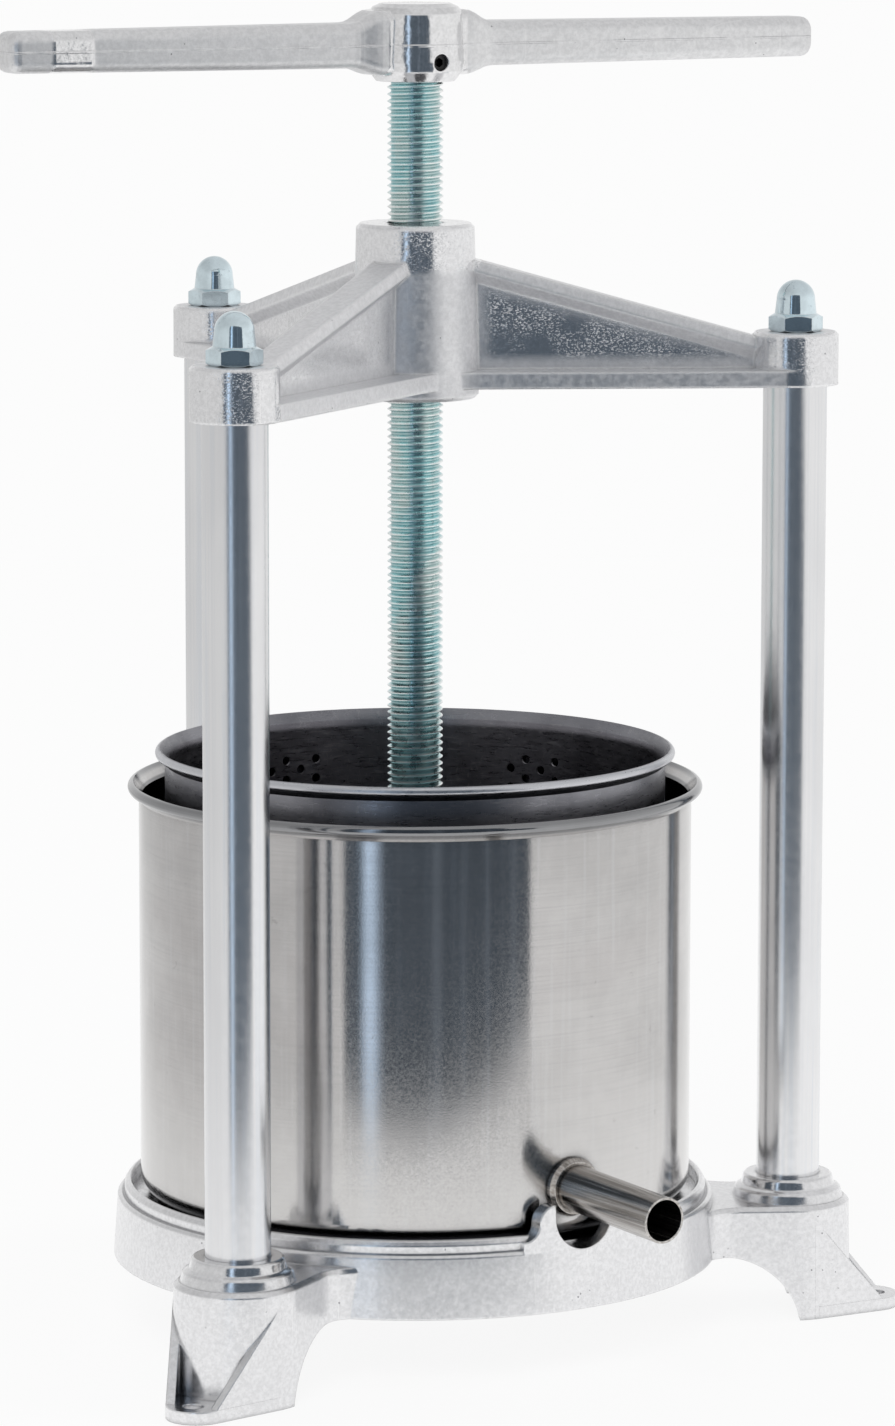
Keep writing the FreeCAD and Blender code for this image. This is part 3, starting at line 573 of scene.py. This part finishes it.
def bright_zinc(name, colour, edge):
    """Bright plating on nuts and washers, with a faint blue cast, painted highlights on the edges and
    painted shade in corners.
    """
    made, g = new_material(name)
    cloud = g.spread(g.noise(140, 3, 0.6), 0.35, 0.65)
    tone = g.mix(cloud, tuple(c * 0.86 for c in colour), colour)
    spots = g.spread(g.noise(520, 4, 0.7), 0.62, 0.68)
    tone = g.mix(g.math("MULTIPLY", spots, 0.3), tone, (0.26, 0.33, 0.38))
    rounded = g.rounded(edge)
    # Painted highlight: the edges are lightened.
    tone = g.mix(g.math("MULTIPLY", g.edges(rounded), 0.5), tone, (0.90, 0.94, 0.96))
    # Painted shade: the colour is darkened in corners.
    painted_corner_shade = g.spread(g.open_air(2.5 * MM), 0.80, 0.45)
    tone = g.mix(g.math("MULTIPLY", painted_corner_shade, 0.7), tone, (0.10, 0.12, 0.14))
    roughness = g.spread(g.noise(220, 2), 0.3, 0.7, 0.07, 0.13)
    normal = g.bump(g.noise(420, 3), 0.03 * MM, 0.6, rounded)
    g.metal(tone, roughness, normal)
    return made


def pot_material():
    """Rolled stainless sheet: close to a mirror along the grain, blurred across it."""
    made, g = new_material("pot_steel")
    grain = g.noise(1.0, 3, 0.6, g.place((24, 24, 1500)))
    cloud = g.noise(14, 4, 0.6)
    colour = g.mix(g.spread(cloud, 0.35, 0.65), (0.495, 0.485, 0.478), (0.575, 0.562, 0.555))
    colour = g.mix(g.math("MULTIPLY", g.spread(grain, 0.4, 0.7), 0.20), colour, (0.39, 0.39, 0.395))
    upright = g.noise(1.0, 3, 0.6, g.place((420, 420, 9)))
    colour = g.mix(g.math("MULTIPLY", g.spread(upright, 0.5, 0.72), 0.16), colour, (0.70, 0.72, 0.75))
    mottle = g.spread(g.noise(110, 4, 0.65), 0.42, 0.68)
    colour = g.mix(g.math("MULTIPLY", mottle, 0.16), colour, (0.66, 0.65, 0.645))
    stain = g.spread(g.noise(7, 3, 0.6, g.place((1, 1, 2.2)), 0.6), 0.50, 0.62)
    colour = g.mix(g.math("MULTIPLY", stain, 0.14), colour, (0.44, 0.41, 0.40))
    spots = g.spread(g.noise(170, 4, 0.7), 0.66, 0.72)
    colour = g.mix(g.math("MULTIPLY", spots, 0.35), colour, (0.30, 0.29, 0.285))
    _, _, z = g.axes()
    # Painted reflection: the pot's colour is lightened towards the bottom, from 115 mm down to 60 mm.
    colour = g.mix(g.math("MULTIPLY", g.spread(z, 0.115, 0.060), 0.55), colour, (0.70, 0.69, 0.68))
    # Painted shade: the inside of the pot is darkened.
    inside = g.spread(g.radius(), POT_OUTSIDE, POT_INSIDE)
    colour = g.mix(inside, colour, (0.20, 0.20, 0.205))
    # Painted shade: the rolled rim is darkened.
    rim = g.spread(g.radius(), 100.6 * MM, 101.6 * MM)
    colour = g.mix(g.math("MULTIPLY", rim, 0.8), colour, (0.23, 0.235, 0.245))
    # Painted shade: near black in corners and gaps, such as where the pot sits in the base ring.
    painted_corner_shade = g.spread(g.open_air(9.0 * MM), 0.84, 0.50)
    colour = g.mix(g.math("MULTIPLY", painted_corner_shade, 0.97), colour, (0.012, 0.012, 0.014))
    roughness = g.spread(g.noise(1100, 3, 0.6), 0.3, 0.7, 0.10, 0.16)
    normal = g.bump(g.noise(9, 1), 0.30 * MM, 0.6)
    normal = g.bump(g.noise(1500, 2, 0.6), 0.009 * MM, 0.8, normal)
    g.metal(colour, roughness, normal, 0.6)
    return made


def basket_material():
    """Dull grey stainless sheet, ground by hand in short arcs, darker on the inside."""
    made, g = new_material("basket_steel")
    arcs = g.noise(1.0, 3, 0.6, g.place((160, 160, 1100), (0.5, 0.35, 0)), 1.2)
    other = g.noise(1.0, 3, 0.6, g.place((900, 180, 260), (0.2, 0.1, 0.6)), 1.2)
    cloud = g.noise(30, 3, 0.6)
    outside = g.mix(g.spread(cloud, 0.35, 0.65), (0.20, 0.20, 0.22), (0.29, 0.29, 0.315))
    inner = g.mix(g.spread(cloud, 0.35, 0.65), (0.155, 0.15, 0.168), (0.215, 0.21, 0.232))
    inside = g.spread(g.radius(), BASKET_OUTSIDE, BASKET_INSIDE)
    colour = g.mix(inside, outside, inner)
    marks = g.math("MAXIMUM", g.spread(arcs, 0.56, 0.70), g.spread(other, 0.58, 0.72))
    colour = g.mix(g.math("MULTIPLY", marks, 0.22), colour, (0.50, 0.49, 0.49))
    rim = g.spread(g.radius(), 92.2 * MM, 93.4 * MM)
    colour = g.mix(g.math("MULTIPLY", rim, 0.8), colour, (0.72, 0.73, 0.76))
    roughness = g.spread(arcs, 0.3, 0.7, 0.26, 0.40)
    normal = g.bump(g.math("MAXIMUM", arcs, other), 0.05 * MM, 0.6)
    g.metal(colour, roughness, normal)
    return made


def spout_material():
    """Drawn stainless tube, streaked along its length and browned by the weld's heat."""
    made, g = new_material("spout_steel")
    _, y, _ = g.axes()
    heat = g.spread(y, -0.128, -0.104)
    streak = g.noise(1.0, 4, 0.65, g.place((800, 7, 800)))
    colour = g.mix(g.spread(streak, 0.38, 0.62), (0.33, 0.31, 0.29), (0.64, 0.62, 0.595))
    glint = g.spread(g.noise(1.0, 3, 0.6, g.place((500, 9, 500), (0, 0, 0.02))), 0.58, 0.66)
    colour = g.mix(g.math("MULTIPLY", glint, 0.5), colour, (0.80, 0.79, 0.78))
    colour = g.mix(g.math("MULTIPLY", heat, 0.25), colour, (0.36, 0.30, 0.255))
    rounded = g.rounded(0.3 * MM)
    # Painted highlight: the edges are lightened.
    colour = g.mix(g.math("MULTIPLY", g.edges(rounded), 0.6), colour, (0.82, 0.80, 0.78))
    # Painted shade: the colour is darkened in corners.
    painted_corner_shade = g.spread(g.open_air(3.0 * MM), 0.80, 0.45)
    colour = g.mix(g.math("MULTIPLY", painted_corner_shade, 0.85), colour, (0.03, 0.03, 0.03))
    roughness = g.spread(streak, 0.3, 0.7, 0.16, 0.28)
    g.metal(colour, roughness, g.bump(streak, 0.03 * MM, 0.6, rounded))
    return made


def plain_metal(name, colour, roughness, edge):
    """Small hidden hardware: an even finish with slight mottling."""
    made, g = new_material(name)
    tone = g.mix(g.spread(g.noise(200, 3, 0.6), 0.35, 0.65), tuple(c * 0.8 for c in colour), colour)
    rough = g.spread(g.noise(300, 2), 0.3, 0.7, roughness * 0.8, roughness * 1.2)
    g.metal(tone, rough, g.bump(g.noise(500, 2), 0.03 * MM, 0.5, g.rounded(edge)))
    return made


# Meshes


def add_mesh(name, points, faces, smooth_angle=30):
    """New object with outward normals and creases where faces meet sharply."""
    mesh = bpy.data.meshes.new(name)
    mesh.from_pydata([tuple(p) for p in points], [], faces)
    b = bmesh.new()
    b.from_mesh(mesh)
    bmesh.ops.remove_doubles(b, verts=b.verts, dist=1e-6)
    bmesh.ops.dissolve_degenerate(b, edges=b.edges, dist=1e-7)
    bmesh.ops.recalc_face_normals(b, faces=b.faces)
    limit = math.radians(smooth_angle)
    for face in b.faces:
        face.smooth = True
    for edge in b.edges:
        edge.smooth = len(edge.link_faces) == 2 and edge.calc_face_angle(0) < limit
    b.to_mesh(mesh)
    b.free()
    made = bpy.data.objects.new(name, mesh)
    bpy.context.scene.collection.objects.link(made)
    return made


def thread_radius(phase, crest_radius):
    """Radius of the thread at a share of one pitch: crest, flank, root, flank."""
    flank = (1 - THREAD_CREST - THREAD_ROOT) / 2
    if phase < THREAD_CREST:
        return crest_radius
    if phase < THREAD_CREST + flank:
        return crest_radius - THREAD_DEPTH * (phase - THREAD_CREST) / flank
    if phase < 1 - flank:
        return crest_radius - THREAD_DEPTH
    return crest_radius - THREAD_DEPTH * (1 - phase) / flank


def threaded_rod(low, high, crest_radius):
    """Right-hand helical thread from low to high, with flat ends."""
    flank = (1 - THREAD_CREST - THREAD_ROOT) / 2
    phases = [0, THREAD_CREST, THREAD_CREST + flank, 1 - flank]
    turns = math.ceil((high - low) / THREAD_PITCH) + 2
    rows = [(t - 1) + phase for t in range(turns) for phase in phases]
    points = []
    for row in rows:
        radius = thread_radius(row % 1.0, crest_radius)
        for i in range(THREAD_STEPS):
            angle = 2 * math.pi * i / THREAD_STEPS
            z = low + (row + i / THREAD_STEPS) * THREAD_PITCH
            points.append((radius * math.cos(angle), radius * math.sin(angle), min(max(z, low), high)))
    n = THREAD_STEPS
    step = len(phases)
    faces = []
    for j in range(len(rows) - 1):
        for i in range(n - 1):
            faces.append((j * n + i, j * n + i + 1, (j + 1) * n + i + 1, (j + 1) * n + i))
        if j + 1 + step < len(rows):
            faces.append((j * n + n - 1, (j + step) * n, (j + 1 + step) * n, (j + 1) * n + n - 1))
    return points, faces


def rod_end(points, faces, radius, z, up):
    """Flat disc that closes an end of the rod."""
    centre = len(points)
    points.append((0, 0, z))
    for i in range(THREAD_STEPS):
        angle = 2 * math.pi * i / THREAD_STEPS
        points.append((radius * math.cos(angle), radius * math.sin(angle), z))
    for i in range(THREAD_STEPS):
        a = centre + 1 + i
        b = centre + 1 + (i + 1) % THREAD_STEPS
        faces.append((centre, a, b) if up else (centre, b, a))


def clean_mesh(made, smallest=0.0):
    """Drop faces smaller than this area, and points that no face uses."""
    b = bmesh.new()
    b.from_mesh(made.data)
    flat = [f for f in b.faces if f.calc_area() < smallest]
    bmesh.ops.delete(b, geom=flat, context="FACES")
    loose = [v for v in b.verts if not v.link_faces]
    bmesh.ops.delete(b, geom=loose, context="VERTS")
    b.to_mesh(made.data)
    b.free()


def press_screw():
    """Threaded rod in place of the plain one, with the turned journal at its foot."""
    low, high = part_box("press_screw")
    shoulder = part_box("thrust_washer")[1].z
    crest_radius = high.x
    points, faces = threaded_rod(shoulder, high.z, crest_radius)
    rod_end(points, faces, crest_radius - THREAD_DEPTH, high.z, True)
    made = add_mesh("screw_thread", points, faces, 25)
    clean_mesh(made, SLIVER_AREA)
    journal_points = []
    journal_faces = []
    for z, r in ((low.z, JOURNAL_RADIUS - JOURNAL_BEVEL), (low.z + JOURNAL_BEVEL, JOURNAL_RADIUS),
                 (shoulder, JOURNAL_RADIUS), (shoulder, crest_radius - THREAD_DEPTH)):
        for i in range(THREAD_STEPS):
            angle = 2 * math.pi * i / THREAD_STEPS
            journal_points.append((r * math.cos(angle), r * math.sin(angle), z))
    for j in range(3):
        for i in range(THREAD_STEPS):
            k = (i + 1) % THREAD_STEPS
            a = j * THREAD_STEPS
            journal_faces.append((a + i, a + k, a + THREAD_STEPS + k, a + THREAD_STEPS + i))
    rod_end(journal_points, journal_faces, JOURNAL_RADIUS - JOURNAL_BEVEL, low.z, False)
    journal = add_mesh("screw_journal", journal_points, journal_faces, 25)
    finish = zinc_screw_material()
    for piece in (made, journal):
        piece.data.materials.append(finish)
        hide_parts("press_screw")
        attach(piece, "screw")


def ring_profile(wall, top, rim, bead):
    """Level of a thin wall's flare outside, points of its rolled rim, and the flare inside."""
    bead_z = top - bead
    bead_r = rim - bead
    flare = bead_z - 2 * bead
    roll = []
    for i in range(9):
        angle = -math.pi / 2 + math.pi * i / 8
        roll.append((bead_r + bead * math.cos(angle), bead_z + bead * math.sin(angle)))
    return flare, roll, flare + wall


def in_group(column):
    """Number of the hole column inside its group, or None between groups."""
    period = 360 // BASKET_GROUPS // HOLE_CELL_DEGREES
    place = column % period
    return place if place < BASKET_COLUMNS else None


def basket_shell():
    """Perforated wall, built so that every hole is a real one, with its rolled rim."""
    low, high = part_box("basket_shell")
    rim = high.x
    outer = rim - BASKET_OVERHANG
    inner = outer - BASKET_WALL
    step = HOLE_PITCH / 4
    top_hole = high.z - HOLE_TOP_MARGIN
    first_row = top_hole - HOLE_ROWS * HOLE_PITCH
    columns = 360
    start_angle = BASKET_GROUP_CENTRE - BASKET_COLUMNS * HOLE_CELL_DEGREES / 2
    levels = [low.z + (first_row - low.z) * i / 3 for i in range(3)]
    levels += [first_row + step * i for i in range(4 * HOLE_ROWS + 5)]
    base_row = 3
    flare, roll, inner_flare = ring_profile(BASKET_WALL, high.z, rim, BASKET_BEAD)
    levels = [z for z in levels if z < flare - step / 2] + [flare]
    points = []
    faces = []

    def ring(radius, z):
        start = len(points)
        for i in range(columns):
            angle = math.radians(start_angle + i * 360.0 / columns)
            points.append((radius * math.cos(angle), radius * math.sin(angle), z))
        return start

    outside = [ring(outer, z) for z in levels]
    inside = [ring(inner, z if z < flare - 1e-6 else inner_flare) for z in levels]
    rolled = [ring(r, z) for r, z in roll]
    taken = set()
    for column in range(columns // 4):
        place = in_group(column)
        if place is None:
            continue
        shift = 2 if place % 2 else 0
        for row in range(HOLE_ROWS - (1 if shift else 0)):
            j = base_row + 4 * row + shift
            if j + 4 >= len(levels):
                continue
            skins = [(outer, outside), (inner, inside)]
            hole_cell(points, faces, skins, column * 4, j, columns, start_angle, levels)
            taken.update((column * 4 + a, j + b) for a in range(4) for b in range(4))
    for j in range(len(levels) - 1):
        for i in range(columns):
            if (i, j) in taken:
                continue
            k = (i + 1) % columns
            faces.append((outside[j] + i, outside[j] + k, outside[j + 1] + k, outside[j + 1] + i))
            faces.append((inside[j] + k, inside[j] + i, inside[j + 1] + i, inside[j + 1] + k))
    loops = [inside[0], outside[0]]
    for a, b in [loops] + list(zip([outside[-1]] + rolled, rolled + [inside[-1]])):
        for i in range(columns):
            k = (i + 1) % columns
            faces.append((a + i, a + k, b + k, b + i))
    made = add_mesh("basket_perforated", points, faces, 35)
    clean_mesh(made)
    made.data.materials.append(basket_material())
    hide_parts("basket_shell")
    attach(made, "basket")


def hole_cell(points, faces, skins, i0, j0, columns, start_angle, levels):
    """One round hole in a block of four by four grid cells, through both skins."""
    (outer, outside), (inner, inside) = skins
    centre_angle = math.radians(start_angle + (i0 + 2) * 360.0 / columns)
    centre_z = levels[j0] + HOLE_PITCH / 2
    border = [(k, 0) for k in range(4)] + [(4, k) for k in range(4)]
    border += [(4 - k, 4) for k in range(4)] + [(0, 4 - k) for k in range(4)]
    mean = (outer + inner) / 2
    rims = []
    for radius in (outer, inner):
        start = len(points)
        for a, b in border:
            across = (a - 2) * math.radians(360.0 / columns) * mean
            up = (b - 2) * HOLE_PITCH / 4
            turn = math.atan2(up, across)
            angle = centre_angle + HOLE_RADIUS * math.cos(turn) / mean
            z = centre_z + HOLE_RADIUS * math.sin(turn)
            points.append((radius * math.cos(angle), radius * math.sin(angle), z))
        rims.append(start)
    n = len(border)
    for k in range(n):
        m = (k + 1) % n
        a0, b0 = border[k]
        a1, b1 = border[m]
        first = (i0 + a0) % columns
        second = (i0 + a1) % columns
        faces.append((outside[j0 + b0] + first, outside[j0 + b1] + second, rims[0] + m, rims[0] + k))
        faces.append((inside[j0 + b1] + second, inside[j0 + b0] + first, rims[1] + k, rims[1] + m))
        faces.append((rims[0] + k, rims[0] + m, rims[1] + m, rims[1] + k))


def dress_frame():
    """Give every CAD node that is shown its finish."""
    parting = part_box("handle")[0].z + PARTING_LEVEL
    cast_base = cast_aluminium("cast_base", 0.9 * MM, (0.82, 0.82, 0.83), (0.20, 0.26), 0.5, 0.004 * MM,
                               polished_collars, (120, 0.05 * MM, 0.01 * MM))
    cast_bridge = cast_aluminium("cast_bridge", 1.6 * MM, (0.86, 0.86, 0.87), (0.42, 0.54), 0.25, 0.018 * MM,
                                 polished_bridge, (900, 0.028 * MM, 0.08 * MM))
    cast_handle = cast_aluminium("cast_handle", 0.9 * MM, (0.82, 0.82, 0.825), (0.40, 0.50), 0.4, 0.018 * MM,
                                 polished_grip, (95, 0.28 * MM, 0.01 * MM), parting)
    cast_plate = cast_aluminium("cast_plate", 0.8 * MM, (0.72, 0.72, 0.73), (0.24, 0.34), 0.6, 0.012 * MM)
    zinc = plain_metal("zinc_steel", (0.66, 0.72, 0.74), 0.3, 0.3 * MM)
    nuts = bright_zinc("nut_steel", (0.74, 0.86, 0.91), 0.35 * MM)
    spout = spout_material()
    finishes = {
        "base_casting": cast_base,
        "top_bridge": cast_bridge,
        "handle": cast_handle,
        "press_plate": cast_plate,
        "pot_shell": pot_material(),
        "spout_tube": spout,
        "spout_collar": spout,
        "basket_floor": basket_material(),
        "grub_screw": plain_metal("black_steel", (0.05, 0.05, 0.05), 0.45, 0.2 * MM),
        "thrust_washer": plain_metal("bronze", (0.62, 0.46, 0.27), 0.35, 0.2 * MM),
        "retaining_washer": zinc,
        "retaining_bolt": zinc,
    }
    by_kind = {
        "column": column_material(),
        "tie_rod": zinc,
        "cap_nut": nuts,
        "base_nut": nuts,
        "base_washer": nuts,
    }
    for name, made in frame["nodes"].items():
        kinds = [k for k in by_kind if name.startswith(k)]
        finish = by_kind[kinds[0]] if kinds else finishes.get(name)
        if finish is None:
            continue
        made.data.materials.clear()
        made.data.materials.append(finish)


bpy.context.scene.view_settings.view_transform = "Standard"
camera()
world()
floor()
dark_card()
area_light("key", (-1.6, -1.5, 2.2), (1.4, 1.4), 34, (1.0, 0.99, 0.98))
area_light("fill", (2.0, -1.2, 1.6), (1.6, 1.6), 18, (0.98, 0.99, 1.0))
area_light("back", (0.4, 2.2, 1.8), (1.8, 1.2), 18, (1.0, 1.0, 1.0))
dress_frame()
press_screw()
basket_shell()
